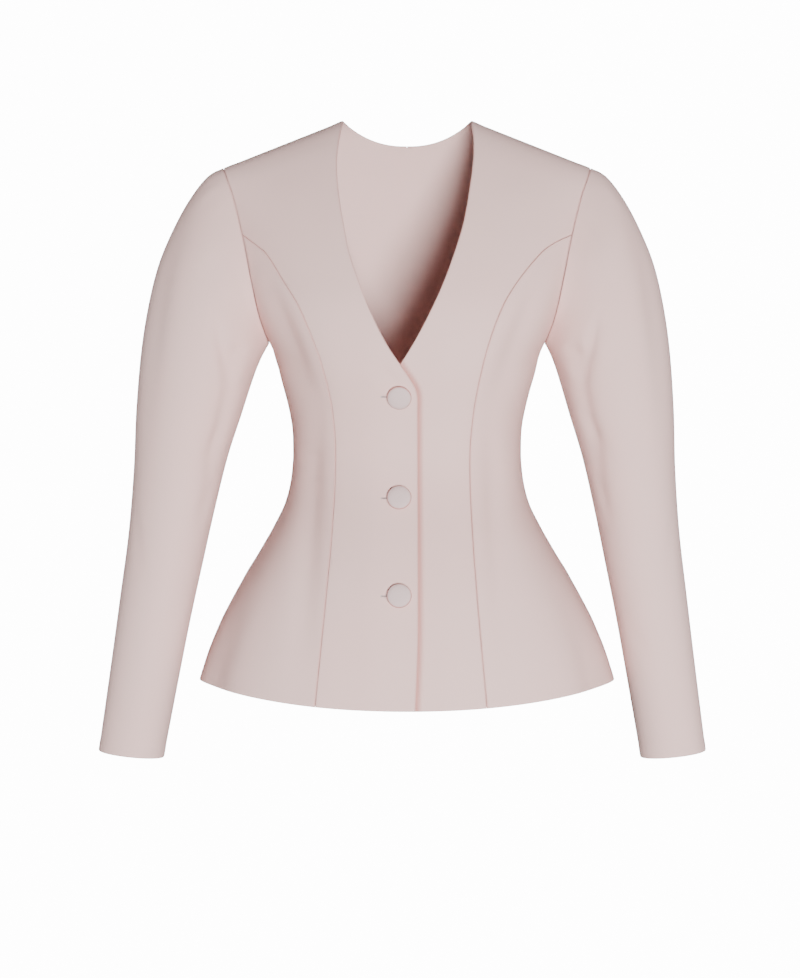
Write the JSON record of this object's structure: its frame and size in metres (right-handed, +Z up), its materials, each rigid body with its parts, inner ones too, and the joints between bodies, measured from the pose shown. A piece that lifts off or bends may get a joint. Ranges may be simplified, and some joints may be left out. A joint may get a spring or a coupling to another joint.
{
  "type": "peplum jacket",
  "caption": "Fitted jacket with a deep V neckline, lapped buttoned front, princess seams, flared hem and long sleeves with full heads and narrow cuffs.",
  "frame": {"origin": "midway between the two neck points, level with them, where the wearer's shoulders hold the jacket", "axes": "+Z up, -Y to the front, +X to the wearer's left"},
  "size_m": [0.626, 0.3173, 0.6575],
  "materials": {
    "cloth": "pale blush crepe suiting, matt with a soft sheen",
    "covered_button": "the same cloth drawn tight over a domed button"
  },
  "bodies": {
    "root": {"front_right": "cloth", "side_front_right": "cloth", "side_back_right": "cloth", "back_right": "cloth", "sleeve_right": "cloth", "front_left": "cloth", "side_front_left": "cloth", "side_back_left": "cloth", "back_left": "cloth", "sleeve_left": "cloth", "button_top": "covered_button", "button_middle": "covered_button", "button_low": "covered_button"}
  },
  "joints": []
}
